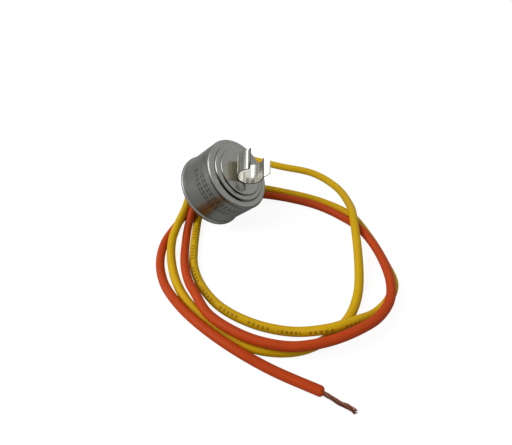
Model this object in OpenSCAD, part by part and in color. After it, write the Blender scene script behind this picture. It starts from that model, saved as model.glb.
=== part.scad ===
/* [Case] */
// Outer diameter of the drawn case
case_d = 25.4; // [23:0.1:30]
// Thickness of the drawn aluminium sheet
case_wall = 0.7; // [0.5:0.05:1]
// Height from the rear plane to the outer ring of the sensing face
case_h = 15.3; // [14.8:0.1:20]
// Radius of the rounded front corner
case_corner = 1; // [0.4:0.1:1.6]
// How far the rolled rear rim stands out from the wall
rim_w = 0.6; // [0.4:0.05:1]
// Height of the rolled rear rim
rim_h = 1.2; // [1:0.1:2]
// Width of the first step of the sensing face, round the raised centre
step_w = 1.55; // [0.8:0.05:2]
// Radius of the rolled edge of the rear rim
rim_edge = 0.54; // [0.3:0.02:0.58]
// Height of the first step above the outer ring
step_h = 0.5; // [0.3:0.05:0.8]
// Height of the raised centre above the first step
pad_h = 0.8; // [0.7:0.05:1.2]
// Radius of the pressed edges of both steps
step_edge = 0.3; // [0.1:0.05:0.4]

/* [Tube clip] */
// Diameter of the tube that the clip holds
tube_d = 7.94; // [6.4:0.01:9.6]
// Gap between the tube and the seat of the clip, on the radius
tube_gap = 0.03; // [0:0.01:0.2]
// Thickness of the spring steel strip
clip_t = 0.4; // [0.3:0.05:0.6]
// Width of the strip, along the tube
clip_w = 7.5; // [5:0.1:9]
// Width of the flat foot that is welded to the face
clip_foot = 2.7; // [2:0.1:3.2]
// Inside radius of the bend between the foot and the flank
clip_bend = 0.3; // [0.2:0.05:0.5]
// Slope of the flank above the face, in degrees
clip_flank = 42; // [42:1:50]
// How far the seat reaches above the middle of the tube, in degrees
clip_wrap = 37; // [25:1:45]
// Radius of the bend at the neck
neck_bend = 0.3; // [0.2:0.05:0.6]
// Outward lean of the lead-in lips, in degrees
lip_lean = 33; // [20:1:45]
// Length of the lead-in lips
lip_len = 2; // [1:0.1:3]
// How much each corner of a lip is cut back
lip_taper = 1.1; // [0.5:0.1:2]
// Turn of the clip on the face, in degrees
clip_turn = 26.5; // [0:0.5:90]
// How far the clip sits from the middle of the face, along the tube
clip_shift = -0.5; // [-1:0.1:1]

/* [Switch] */
// Diameter of the bimetal disc
disc_d = 14.8; // [12:0.1:15.2]
// Gap round the bimetal disc in the raised centre of the face
disc_gap = 0.35; // [0.1:0.05:0.5]
// Thickness of the bimetal disc
disc_t = 0.3; // [0.2:0.05:0.35]
// Depth of the dish that the disc has when warm
disc_dish = 0.35; // [0.2:0.05:0.45]
// Thickness of the plate under the disc
plate_t = 0.4; // [0.3:0.05:0.45]
// Diameter of the transfer pin
pin_d = 2; // [1.5:0.1:2.6]
// Gap round the transfer pin, on the radius
pin_gap = 0.12; // [0.05:0.01:0.2]
// Gap between the moulded pieces and the case wall
wall_gap = 0.1; // [0.05:0.01:0.3]
// Height of the moulded switch base
base_h = 8.8; // [8.4:0.1:9.2]
// Depth of the contact chamber in the switch base
chamber_h = 5.2; // [4.8:0.1:5.6]
// Length of the contact chamber
chamber_l = 17.6; // [16.8:0.1:18]
// Width of the contact chamber
chamber_w = 8; // [7:0.1:10]
// Thickness of the contact arm
arm_t = 0.25; // [0.15:0.05:0.3]
// Width of the contact arm
arm_w = 2.8; // [2.2:0.1:3]
// Diameter of the contact heads
contact_d = 2.6; // [2:0.1:2.8]
// Thickness of the contact heads
contact_t = 0.6; // [0.4:0.05:0.7]
// Gap between the open contacts
contact_gap = 0.5; // [0.3:0.05:0.8]
// Distance from the middle to each contact
contact_x = 4; // [3.6:0.1:4.2]
// How far the contact arm and the fixed terminal reach past their contacts
contact_edge = 0.3; // [0.2:0.05:0.4]
// Distance from the middle to the post that the contact arm is riveted to
post_x = 3.4; // [3:0.1:4]
// Distance from the middle to each terminal rivet
rivet_x = 6.9; // [6.9:0.1:7.3]
// Diameter of the rivet shanks
rivet_d = 1.4; // [1:0.1:1.6]
// Diameter of the rivet heads
rivet_head_d = 2.6; // [2.2:0.1:2.8]
// Thickness of the rivet heads
rivet_head_t = 0.5; // [0.3:0.05:0.6]
// Gap round and above the rivet heads in their pockets
pocket_gap = 0.2; // [0.1:0.05:0.3]
// Thickness of the brass terminals
term_t = 0.5; // [0.3:0.05:0.6]
// Width of the terminal legs
term_w = 1.8; // [1.4:0.1:2]
// Gap round the terminal legs in the cover
slot_gap = 0.08; // [0.05:0.01:0.15]
// Depth below the cover at which the crimped wires end
wire_stop = 0.5; // [0.3:0.1:1]

/* [Seal and leads] */
// Thickness of the fibre cover behind the switch base
cover_t = 0.8; // [0.6:0.05:1.2]
// Height of the rubber seal ring
seal_h = 0.6; // [0.4:0.05:1]
// Radial width of the rubber seal ring
seal_w = 2.2; // [1.5:0.1:3]
// Depth of the sealing compound's surface below the rear plane
pot_sink = 0.3; // [0:0.05:1]
// Height of the compound's collar round each lead
collar_h = 0.6; // [0.3:0.05:1]
// Width of the compound's collar round each lead
collar_w = 0.7; // [0.3:0.05:0.9]
// Width of the flat edge that the collar ends in
collar_edge = 0.1; // [0.05:0.05:0.2]
// Outer diameter of the lead insulation
lead_d = 2.8; // [2.4:0.1:2.8]
// Distance between the leads where they leave the case
lead_pitch = 5.6; // [5.2:0.1:6]
// Diameter of the stranded copper conductor
wire_d = 1.2; // [0.8:0.1:1.3]
// Wall of the crimp barrels
crimp_wall = 0.35; // [0.2:0.05:0.5]
// Length of the crimp barrels
crimp_l = 2.2; // [1.5:0.1:2.4]
// Bare stretch of conductor between a crimp barrel and the insulation
bare_l = 0.6; // [0.3:0.1:1]

/* [Hidden] */
$fn = 96;
slack = 1;          // overshoot of a cutting shape
lead_sides = 8;     // sides of a lead's tube
arc_steps = 6;      // straight steps in a small rounded edge
seat_steps = 18;    // straight steps in the back of the clip's seat
seat_spare = 0.05;  // what the round seat takes off the strip when it is cut
lip_plain = 0.1;    // how far above the neck the corners of a lip start

// How the case lies: it leans over until its rear rim touches the table.
lean = 46.4;
case_r = case_d / 2;
bore_r = case_r - case_wall;
rim_r = case_r + rim_w;
pad_r = disc_d / 2 + disc_gap + case_wall;
step_r = pad_r + step_w;
case_at = [-6.745, 0, (rim_r - rim_edge) * sin(lean) - rim_edge * cos(lean) + rim_edge];

// Levels along the axis of the case, from its rear plane towards the sensing face
step_top = case_h + step_h;
pad_top = step_top + pad_h;
ceiling = pad_top - case_wall;
base_top = case_h - case_wall;
base_foot = base_top - base_h;
cover_foot = base_foot - cover_t;
chamber_top = base_foot + chamber_h;
disc_foot = ceiling - disc_t - disc_dish;
fixed_top = chamber_top;
fixed_foot = fixed_top - term_t;
fixed_contact_foot = fixed_foot - contact_t;
arm_contact_top = fixed_contact_foot - contact_gap;
arm_top = arm_contact_top - contact_t;
arm_foot = arm_top - arm_t;
post_foot = arm_top + term_t;
head_pocket = rivet_head_t + pocket_gap;

// Places across the axis
base_r = bore_r - wall_gap;
leg_in = lead_pitch / 2 * cos(45);
leg_at = [leg_in, -leg_in];
arm_tip = contact_x + contact_d / 2 + contact_edge;
arm_root = rivet_x + rivet_head_d / 2;
leg_face = leg_in - term_t / 2;
leg_back = leg_in + term_t / 2;
leg_top = cover_foot - wire_stop;
crimp_foot = cover_foot - crimp_l;
lead_sunk = crimp_foot - bare_l;

// Tube clip, worked out along the middle of the strip
seat_r = tube_d / 2 + tube_gap;
seat_mid = seat_r + clip_t / 2;
bend_mid = clip_bend + clip_t / 2;
flank_l = ((seat_mid - bend_mid) * sin(clip_flank) - clip_foot / 2) / cos(clip_flank);
seat_h = clip_t / 2 + bend_mid * (1 - cos(clip_flank)) + flank_l * sin(clip_flank)
    + seat_mid * cos(clip_flank);
lip_from = 180 - lip_lean;
neck_step = (clip_wrap + lip_lean) / arc_steps;
neck_at = [0, seat_h] + (seat_r + clip_t + neck_bend) * [cos(clip_wrap), sin(clip_wrap)];

// Routes of the two leads over the table, and of their bared ends
orange_route = [
    [-10.4, 1.2, 8.1], [-11.6, -0.6, 6.4], [-12, -3.7, 5], [-11, -8.9, 4.3],
    [-10.4, -13.2, 2.4], [-8.1, -19.9, 1.5], [-3.4, -29.5, 2.6], [1, -35.5, 3.1],
    [5.7, -39.8, 3.9], [11.6, -44.6, 4.3], [18.6, -47.1, 4.4], [27.7, -48.1, 4.4],
    [37.4, -46.5, 4.4], [45.9, -42.1, 4.9], [52.5, -36.7, 5.5], [57.6, -29.8, 4.6],
    [59.9, -22.5, 4.3], [59.3, -16, 4.3], [55.9, -7.6, 4.3], [51.3, -0.5, 4.2],
    [46.5, 5.2, 3.4], [41.1, 10.1, 1.6], [30.9, 13.6, 1.4], [19.2, 14.2, 1.4],
    [6.2, 12.6, 1.4], [-5.8, 9.5, 1.4], [-12.8, 2.5, 1.4], [-14.5, -6, 1.4],
    [-15, -14, 1.4], [-14.8, -22.5, 1.4], [-11.8, -30.9, 1.4], [-6.3, -38, 1.6],
    [1.2, -43.5, 2.5], [10.1, -47.9, 3.2], [21.3, -51.4, 3.2], [33.2, -53.2, 1.9],
    [47.7, -54.2, 1.4]];
yellow_route = [
    [-8.2, -3.1, 5], [-9.2, -5.2, 3.1], [-9.1, -8.2, 1.6], [-7.6, -12.7, 1.4],
    [-4.2, -21.5, 1.4], [-0.7, -28.6, 1.4], [4.9, -34.8, 1.4], [13.5, -39.9, 1.4],
    [24.7, -41.9, 1.4], [35.6, -40.8, 1.7], [44.7, -38.4, 4.4], [51.1, -33.4, 4.1],
    [56.8, -26.7, 1.5], [60, -20.5, 1.4], [60.8, -14, 1.4], [57.2, -6.3, 1.4],
    [50.6, 4.1, 1.4], [42.9, 12.6, 1.4], [31.7, 16.6, 1.4], [16.7, 17.4, 1.4],
    [0.7, 15.7, 1.4], [-12.3, 9.7, 2], [-16.1, 1, 3.8], [-14.2, -7.9, 4.5],
    [-11.9, -21.9, 3.3], [-7.8, -30.3, 1.4], [0.8, -39.6, 1.4], [12.7, -46, 1.4],
    [26.7, -49, 1.4], [39.5, -45.1, 1.4], [48.2, -34.8, 1.4], [50.9, -22, 1.8],
    [44.1, 6.5, 6.2], [40.9, 16.6, 4], [34.2, 27.5, 1.6], [23.7, 33.2, 1.4],
    [8.2, 33.4, 1.4], [-12.8, 34.8, 1.4]];
orange_tail = [[52.2, -55.1, 0.9], [54.4, -55.2, 0.7], [56.5, -56.2, 0.7]];
yellow_tail = [[-18.3, 35.2, 0.8], [-23.8, 34.8, 0.7]];

// A point of the case's own frame, where it lies
function lying(p) = case_at + [
    p[0] * cos(lean) + p[2] * sin(lean), p[1], p[2] * cos(lean) - p[0] * sin(lean)];

// The whole route of a lead: straight out of the case on its axis, then over the table
function from_case(side, route) = concat(
    [lying([side * leg_at[0], side * leg_at[1], lead_sunk]),
     lying([side * leg_at[0], side * leg_at[1], -1])], route);

// The route of a bared end: on from the end of its lead, then over the table
function from_end(route, tail) = let (
    end = route[len(route) - 1], way = unit(end - route[len(route) - 2]))
    concat([end, end + way * 2], tail);

function unit(v) = v / norm(v);

// Direction at one point of a route, which starts straight
function heading(p, i) = i < 2 ? unit(p[1] - p[0])
    : unit(p[min(i + 1, len(p) - 1)] - p[i - 1]);

function ring(c, way, r) = let (side = unit(cross(way, [0, 0, 1])), up = cross(side, way))
    [for (k = [0 : lead_sides - 1])
        c + r * (cos(k * 360 / lead_sides) * side + sin(k * 360 / lead_sides) * up)];

function arc(centre, r, from, to, steps = arc_steps) = [for (i = [0 : steps])
    let (a = from + (to - from) * i / steps) centre + r * [cos(a), sin(a)]];

// A round lead of radius r through the points p
module tube(p, r) {
    last = (len(p) - 1) * lead_sides;
    points = [for (i = [0 : len(p) - 1]) each ring(p[i], heading(p, i), r)];
    sides = [for (i = [0 : len(p) - 2], k = [0 : lead_sides - 1]) let (
        a = i * lead_sides + k, b = i * lead_sides + (k + 1) % lead_sides)
        each [[a, b, b + lead_sides], [a, b + lead_sides, a + lead_sides]]];
    ends = [[for (k = [lead_sides - 1 : -1 : 0]) k],
        [for (k = [0 : lead_sides - 1]) last + k]];
    polyhedron(points, concat(sides, ends));
}

module lay_down() {
    translate(case_at) rotate([0, lean, 0]) children();
}

// A ring or disc between two levels
module washer(r_out, r_in, foot, top) {
    translate([0, 0, foot]) difference() {
        cylinder(r = r_out, h = top - foot);
        if (r_in > 0) translate([0, 0, -slack]) cylinder(r = r_in, h = top - foot + 2 * slack);
    }
}

// A block between two corners
module block(low, high) {
    translate(low) cube(high - low);
}

// The drawn case: rolled rim, straight wall and a sensing face pressed in two steps
module case_outline() {
    polygon(concat(
        [[bore_r, 0]],
        arc([rim_r - rim_edge, rim_edge], rim_edge, -90, 0),
        arc([rim_r - rim_edge, rim_h - rim_edge], rim_edge, 0, 90),
        [[case_r, rim_h]],
        arc([case_r - case_corner, case_h - case_corner], case_corner, 0, 90),
        [[step_r, case_h]],
        arc([step_r - step_edge, step_top - step_edge], step_edge, 0, 90),
        [[pad_r, step_top]],
        arc([pad_r - step_edge, pad_top - step_edge], step_edge, 0, 90),
        [[0, pad_top], [0, ceiling],
         [pad_r - case_wall, ceiling], [pad_r - case_wall, step_top - case_wall],
         [step_r - case_wall, step_top - case_wall], [step_r - case_wall, base_top],
         [bore_r, base_top]]));
}

module case() {
    color([0.62, 0.63, 0.64]) lay_down() rotate_extrude() case_outline();
}

// One face of the clip's strip, from the foot over the neck to the tip of the lip. The round seat
// is cut later, so its face starts out a little proud and meets the neck after the first step.
function strip_side(out) = concat(
    arc([clip_foot / 2, clip_t + clip_bend], clip_bend + out, -90, clip_flank - 90),
    arc([0, seat_h], seat_r + (out > 0 ? out : -seat_spare), clip_flank - 90, clip_wrap, seat_steps),
    arc(neck_at, neck_bend + clip_t - out, 180 + clip_wrap - (out > 0 ? 0 : neck_step), lip_from),
    [neck_at + (neck_bend + clip_t - out) * [cos(lip_from), sin(lip_from)]
        + lip_len * [sin(lip_from), -cos(lip_from)]]);

function mirrored(side) = [for (i = [len(side) - 1 : -1 : 0]) [-side[i][0], side[i][1]]];

function backward(side) = [for (i = [len(side) - 1 : -1 : 0]) side[i]];

// The corners that are cut off a lead-in lip, from just above the neck to its tip
module lip_corners() {
    slope = (lip_len - lip_plain) / lip_taper;
    more = lip_len + slack;
    translate([neck_at[0], neck_at[1], 0]) rotate([0, 0, lip_from])
        for (edge = [0, 1]) translate([neck_bend - slack, 0, edge * clip_w]) mirror([0, 0, edge])
            rotate([0, 90, 0]) linear_extrude(clip_t + 2 * slack) polygon([
                [slack, slack * slope - lip_plain], [(lip_plain - more) / slope, -more], [slack, -more]]);
}

// The spring clip: welded foot, flanks, round seat, neck and lead-in lips
module tube_clip() {
    inside = strip_side(0);
    outside = strip_side(clip_t);
    color([0.83, 0.83, 0.81]) lay_down() translate([0, 0, pad_top]) rotate([0, 0, clip_turn])
        translate([0, clip_shift + clip_w / 2, 0]) rotate([90, 0, 0]) difference() {
            linear_extrude(clip_w) polygon(concat(
                inside, backward(outside), backward(mirrored(outside)), mirrored(inside)));
            translate([0, seat_h, -slack]) cylinder(r = seat_r, h = clip_w + 2 * slack);
            lip_corners();
            mirror([1, 0, 0]) lip_corners();
        }
}

// The snap disc, warm: its rim bears on the case and its middle is dished onto the pin
module bimetal_disc() {
    steps = 8;
    dish = [for (i = [0 : steps]) [disc_d / 2 * i / steps, disc_dish * pow(i / steps, 2)]];
    up = [for (p = dish) [p[0], p[1] + disc_t]];
    color([0.72, 0.66, 0.52]) lay_down() translate([0, 0, disc_foot]) rotate_extrude()
        polygon(concat(dish, [for (i = [steps : -1 : 0]) up[i]]));
}

// The plate between the disc and the switch base
module disc_plate() {
    color([0.7, 0.71, 0.72]) lay_down()
        washer(step_r - case_wall - wall_gap, pin_d / 2 + pin_gap, base_top, base_top + plate_t);
}

module transfer_pin() {
    color([0.93, 0.91, 0.86]) lay_down() translate([0, 0, arm_top])
        cylinder(d = pin_d, h = disc_foot - arm_top);
}

// The moulded base: contact chamber, pin guide, post of the contact arm and rivet pockets
module switch_base() {
    color([0.2, 0.14, 0.1]) lay_down() difference() {
        washer(base_r, pin_d / 2 + pin_gap, base_foot, base_top);
        difference() {
            block([-chamber_l / 2, -chamber_w / 2, base_foot - slack],
                [chamber_l / 2, chamber_w / 2, chamber_top]);
            block([-chamber_l / 2 - slack, -arm_w / 2, post_foot],
                [-post_x, arm_w / 2, chamber_top + slack]);
        }
        for (side = [-1, 1]) translate([side * rivet_x, 0, 0]) {
            translate([0, 0, base_foot]) cylinder(d = rivet_d, h = base_h + slack);
            translate([0, 0, base_top - head_pocket])
                cylinder(d = rivet_head_d + 2 * pocket_gap, h = head_pocket + slack);
        }
    }
}

// The springy arm, riveted at one end and pushed down by the pin
module contact_arm() {
    color([0.8, 0.55, 0.33]) lay_down() difference() {
        block([-arm_root, -arm_w / 2, arm_foot], [arm_tip, arm_w / 2, arm_top]);
        for (x = [[-rivet_x, rivet_d], [contact_x, contact_d / 2]])
            translate([x[0], 0, arm_foot - slack]) cylinder(d = x[1], h = arm_t + 2 * slack);
    }
}

// A contact: a silver head and a shank through its carrier
module contact(head_from, head_to, shank_to) {
    color([0.88, 0.88, 0.86]) lay_down() translate([contact_x, 0, 0]) {
        translate([0, 0, min(head_from, head_to)]) cylinder(d = contact_d, h = contact_t);
        translate([0, 0, min(head_to, shank_to)])
            cylinder(d = contact_d / 2, h = abs(shank_to - head_to));
    }
}

module arm_contact() {
    contact(arm_contact_top, arm_top, arm_foot);
}

module fixed_contact() {
    contact(fixed_contact_foot, fixed_foot, fixed_top);
}

// A rivet through the switch base, with a head under its terminal and one in the pocket
module rivet(x, foot) {
    color([0.75, 0.62, 0.32]) lay_down() translate([x, 0, 0]) {
        translate([0, 0, foot - rivet_head_t]) cylinder(d = rivet_head_d, h = rivet_head_t);
        translate([0, 0, foot]) cylinder(d = rivet_d, h = base_top - head_pocket - foot);
        translate([0, 0, base_top - head_pocket]) cylinder(d = rivet_head_d, h = rivet_head_t);
    }
}

module arm_rivet() {
    rivet(-rivet_x, arm_foot);
}

module fixed_rivet() {
    rivet(rivet_x, fixed_foot);
}

// A brass terminal: plate under a rivet, edge bent down into a leg, and a crimp barrel
module terminal(foot, plate_from, holes) {
    color([0.78, 0.63, 0.3]) lay_down() difference() {
        union() {
            block([plate_from, -leg_back, foot], [arm_root, arm_w / 2, foot + term_t]);
            block([leg_in - term_w / 2, -leg_back, foot - term_t],
                [arm_root, -leg_face, foot + term_t]);
            block([leg_in - term_w / 2, -leg_back, leg_top],
                [leg_in + term_w / 2, -leg_face, foot + term_t]);
            translate([leg_at[0], leg_at[1], crimp_foot])
                cylinder(d = wire_d + 2 * crimp_wall, h = crimp_l);
        }
        translate([leg_at[0], leg_at[1], crimp_foot - slack])
            cylinder(d = wire_d, h = leg_top - crimp_foot + slack);
        for (h = holes) translate([h[0], 0, foot - slack]) cylinder(d = h[1], h = term_t + 2 * slack);
    }
}

module fixed_terminal() {
    terminal(fixed_foot, contact_x - contact_d / 2 - contact_edge,
        [[rivet_x, rivet_d], [contact_x, contact_d / 2]]);
}

module arm_terminal() {
    half_turned() terminal(arm_top, post_x, [[rivet_x, rivet_d]]);
}

// Half a turn about the axis of the case, where it lies
module half_turned() {
    lay_down() rotate([0, 0, 180]) rotate([0, -lean, 0]) translate(-case_at) children();
}

// The fibre cover over the contact chamber, with a slot for each terminal leg
module base_cover() {
    color([0.55, 0.32, 0.17]) lay_down() difference() {
        washer(base_r, 0, cover_foot, base_foot);
        for (turn = [0, 180]) rotate([0, 0, turn])
            block([leg_in - term_w / 2 - slot_gap, -leg_back - slot_gap, cover_foot - slack],
                [leg_in + term_w / 2 + slot_gap, -leg_face + slot_gap, base_foot + slack]);
    }
}

module seal_ring() {
    color([0.12, 0.12, 0.12]) lay_down()
        washer(bore_r, bore_r - seal_w, cover_foot - seal_h, cover_foot);
}

// The black compound that closes the case, with a collar round each lead
module sealing_compound() {
    color([0.07, 0.07, 0.07]) lay_down() difference() {
        union() {
            washer(bore_r, 0, pot_sink, cover_foot - seal_h);
            washer(bore_r - seal_w, 0, pot_sink, cover_foot);
            for (side = [-1, 1]) translate(side * [leg_at[0], leg_at[1], 0])
                translate([0, 0, pot_sink - collar_h])
                    cylinder(r1 = lead_d / 2 + collar_edge, r2 = lead_d / 2 + collar_w,
                        h = collar_h + collar_edge);
        }
        for (side = [-1, 1]) translate(side * [leg_at[0], leg_at[1], 0]) {
            translate([0, 0, -collar_h - slack])
                cylinder(d = lead_d, h = lead_sunk + collar_h + slack, $fn = lead_sides);
            translate([0, 0, lead_sunk - slack]) cylinder(d = wire_d, h = leg_top - lead_sunk + slack);
            translate([0, 0, crimp_foot])
                cylinder(d = wire_d + 2 * crimp_wall, h = crimp_l + slack);
        }
    }
}

// The bared inner end of a lead, from its insulation up into the crimp
module conductor(side) {
    color([0.72, 0.42, 0.26]) lay_down()
        translate([side * leg_at[0], side * leg_at[1], lead_sunk])
            cylinder(d = wire_d, h = leg_top - lead_sunk);
}

module orange_conductor() {
    conductor(-1);
}

module yellow_conductor() {
    conductor(1);
}

module orange_lead() {
    color([0.85, 0.33, 0.13]) tube(from_case(-1, orange_route), lead_d / 2);
}

module yellow_lead() {
    color([0.93, 0.74, 0.12]) tube(from_case(1, yellow_route), lead_d / 2);
}

module orange_strands() {
    color([0.62, 0.38, 0.27]) tube(from_end(orange_route, orange_tail), wire_d / 2);
}

module yellow_strands() {
    color([0.62, 0.38, 0.27]) tube(from_end(yellow_route, yellow_tail), wire_d / 2);
}

case();
tube_clip();
bimetal_disc();
disc_plate();
transfer_pin();
switch_base();
contact_arm();
arm_contact();
arm_rivet();
arm_terminal();
fixed_contact();
fixed_rivet();
fixed_terminal();
base_cover();
seal_ring();
sealing_compound();
orange_conductor();
yellow_conductor();
orange_lead();
yellow_lead();
orange_strands();
yellow_strands();
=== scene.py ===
import bpy
import math
from mathutils import Euler, Matrix, Vector


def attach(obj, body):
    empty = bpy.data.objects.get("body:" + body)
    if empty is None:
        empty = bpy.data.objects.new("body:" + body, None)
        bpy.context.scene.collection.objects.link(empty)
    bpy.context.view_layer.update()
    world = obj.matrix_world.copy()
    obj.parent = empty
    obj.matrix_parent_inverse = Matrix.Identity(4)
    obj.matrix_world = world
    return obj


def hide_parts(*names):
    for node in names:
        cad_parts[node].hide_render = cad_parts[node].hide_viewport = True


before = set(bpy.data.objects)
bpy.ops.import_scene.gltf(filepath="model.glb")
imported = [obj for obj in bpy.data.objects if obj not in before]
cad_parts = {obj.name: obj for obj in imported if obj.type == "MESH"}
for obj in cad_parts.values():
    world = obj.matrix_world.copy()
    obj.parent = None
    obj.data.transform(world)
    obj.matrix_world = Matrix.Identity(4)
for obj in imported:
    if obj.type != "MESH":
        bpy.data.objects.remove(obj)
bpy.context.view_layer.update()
scene = bpy.context.scene
mm = 0.001
print("frame loaded,", len(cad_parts), "nodes")


# The can in its own frame, in mm: z runs from the rear plane to the sensing face.
# It leans over until its rear rim touches the table.

can = {
    "lean": 46.4,          # degrees from upright, towards +X
    "x": -6.745,           # middle of the rear plane
    "boreRadius": 12.0,
    "boreEdge": 0.12,
    "wallRadius": 12.7,
    "wallRings": (3.2, 6.5, 10, 11.6),             # heights
    "shoulderRings": ((12.4, 0.2), (13.1, 0.6)),   # height, share of the way in to the corner
    "rimRadius": 13.3,
    "rimEdge": 0.54,
    "rimHeight": 1.2,
    "grooveDepth": 0.09,   # in front of the rim
    "grooveHeight": 0.28,
    "cornerRadius": 0.9,
    "cornerTuck": 30,      # degrees that the corner goes on turning, into a low shoulder
    "faceHeight": 15.3,
    "stepRadius": 10.4,
    "stepHeight": 0.76,
    "stepEdge": 0.8,
    "padRadius": 8.6,
    "padHeight": 0.54,
    "padEdge": 0.56,
    "padRings": (6, 3, 1),
    "sheet": 0.7,
    "segments": 192,
    "metal": (131, 132, 127),
    "drawnRound": 14.0,    # the drawing lines run up the wall and are fine round it
    "drawnAlong": 0.25,
    "toneSwing": (0.93, 1.05),
    "roughness": (0.18, 0.27),
    "wallRougher": 0.09,
    "relief": 0.000012,    # metres
    # radius, height and reach of each crease that gets painted shade
    "creases": [(10.36, 15.42, 0.64), (8.56, 16.12, 0.42), (12.62, 14.12, 0.44)],
    "paintedCreaseShade": 0.93,         # how dark the painted shade in the creases is on the lower side
    "paintedShadeMiddle": -1.52,  # radians round the can
    "paintedShadeFade": (0.4, 0.8),
}
lean = math.radians(can["lean"])
canHeight = ((can["rimRadius"] - can["rimEdge"]) * math.sin(lean)
             + can["rimEdge"] * (1 - math.cos(lean)))
canPlace = Vector((can["x"], 0, canHeight)) * mm
canToRow = (Matrix.Translation(canPlace) @ Euler((0, lean, 0)).to_matrix().to_4x4()
            @ Matrix.Scale(mm, 4))
stepTop = can["faceHeight"] + can["stepHeight"]
padTop = stepTop + can["padHeight"]


def addObject(name, data):
    thing = bpy.data.objects.new(name, data)
    scene.collection.objects.link(thing)
    return thing


# Camera, at the photograph's place

camera = {
    "place": (45.19, -97.1, 98.0),   # mm
    "turn": 19.73,                   # degrees round the object
    "pitch": 43.9,                   # degrees down
    "lens": 27.07,                   # mm
    "sensor": 36,                    # mm wide
    "nearest": 2,                    # mm
}


def makeCamera():
    data = bpy.data.cameras.new("photoCamera")
    data.lens = camera["lens"]
    data.sensor_width = camera["sensor"]
    data.clip_start = camera["nearest"] * mm
    view = addObject("photoCamera", data)
    view.location = Vector(camera["place"]) * mm
    view.rotation_euler = (math.radians(90 - camera["pitch"]), 0, math.radians(camera["turn"]))
    scene.camera = view


makeCamera()
print("camera made")


# Helpers for node trees

def plug(tree, value, socket):
    if isinstance(value, bpy.types.NodeSocket):
        tree.links.new(value, socket)
    else:
        socket.default_value = value


def setInputs(tree, node, **inputs):
    for key, value in inputs.items():
        plug(tree, value, node.inputs[key.replace("_", " ")])


# A node with its settings; its inputs are filled in their order or by their names
def addNode(tree, kind, settings=None, *values, **inputs):
    node = tree.nodes.new(kind)
    for key, value in (settings or {}).items():
        setattr(node, key, value)
    for socket, value in zip(node.inputs, values):
        plug(tree, value, socket)
    setInputs(tree, node, **inputs)
    return node


def mathNode(tree, operation, *values, clamp=False):
    settings = {"operation": operation, "use_clamp": clamp}
    return addNode(tree, "ShaderNodeMath", settings, *values).outputs[0]


# One operation over two values or more
def chained(tree, operation, values, clamp):
    total = values[0]
    for value in values[1:]:
        total = mathNode(tree, operation, total, value, clamp=clamp)
    return total


def plus(tree, *values, clamp=False):
    return chained(tree, "ADD", values, clamp)


def times(tree, *values, clamp=False):
    return chained(tree, "MULTIPLY", values, clamp)


def minus(tree, first, second):
    return mathNode(tree, "SUBTRACT", first, second)


# How far a value is through its period, from 0 to 1
def phase(tree, value, period):
    return mathNode(tree, "FRACT", mathNode(tree, "DIVIDE", value, period))


# One range spread over another, and held at both ends
def spread(tree, value, start, end, low=0.0, high=1.0):
    return addNode(tree, "ShaderNodeMapRange", Value=value, From_Min=start, From_Max=end,
                   To_Min=low, To_Max=high).outputs[0]


def vectorNode(tree, operation, *values, **inputs):
    node = addNode(tree, "ShaderNodeVectorMath", {"operation": operation}, *values, **inputs)
    return node.outputs["Value" if operation in ("DOT_PRODUCT", "DISTANCE") else "Vector"]


def joined(tree, x, y, z=0.0):
    return addNode(tree, "ShaderNodeCombineXYZ", None, x, y, z).outputs[0]


def split(tree, vector):
    return addNode(tree, "ShaderNodeSeparateXYZ", Vector=vector).outputs[:]


def noise(tree, place, scale, detail, seed=None):
    node = addNode(tree, "ShaderNodeTexNoise", Vector=place, Scale=scale, Detail=detail)
    if seed is not None:
        node.noise_dimensions = "4D"
        plug(tree, seed, node.inputs["W"])
    return node.outputs["Fac"]


noiseSpan = (0.3, 0.7)     # where most values of a noise lie


def rampNode(tree, value, stops):
    node = addNode(tree, "ShaderNodeValToRGB", Fac=value)
    while len(node.color_ramp.elements) < len(stops):
        node.color_ramp.elements.new(0.5)
    for element, (place, colour) in zip(node.color_ramp.elements, stops):
        element.position = place
        element.color = colour
    return node.outputs["Color"]


def mixColours(tree, share, first, second):
    return addNode(tree, "ShaderNodeMix", {"data_type": "RGBA"}, Factor=share, A=first,
                   B=second).outputs["Result"]


def grey(value):
    return (value, value, value, 1)


# A colour as a screen shows it, from 0 to 255
def paint(red, green, blue):
    return tuple(((value / 255 + 0.055) / 1.055) ** 2.4 for value in (red, green, blue)) + (1,)


# Geometry trees: each takes a carrier mesh and gives back a plain mesh

def addSocket(tree, way, name, kind, default=None):
    socket = tree.interface.new_socket(name, in_out=way, socket_type="NodeSocket" + kind)
    if default is not None:
        socket.default_value = default


def newTree(name, inputs):
    tree = bpy.data.node_groups.new(name, "GeometryNodeTree")
    for socket in [("Geometry", "Geometry")] + inputs:
        addSocket(tree, "INPUT", *socket)
    addSocket(tree, "OUTPUT", "Geometry", "Geometry")
    return tree, tree.nodes.new("NodeGroupInput").outputs


def closeTree(tree, geometry, material):
    smooth = addNode(tree, "GeometryNodeSetShadeSmooth", Geometry=geometry)
    real = addNode(tree, "GeometryNodeRealizeInstances", Geometry=smooth.outputs["Geometry"])
    painted = addNode(tree, "GeometryNodeSetMaterial", Geometry=real.outputs["Geometry"],
                      Material=material)
    addNode(tree, "NodeGroupOutput", Geometry=painted.outputs["Geometry"])


def storeAttribute(tree, geometry, name, value, kind="FLOAT"):
    settings = {"data_type": kind, "domain": "POINT"}
    return addNode(tree, "GeometryNodeStoreNamedAttribute", settings, Geometry=geometry,
                   Name=name, Value=value).outputs["Geometry"]


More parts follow.
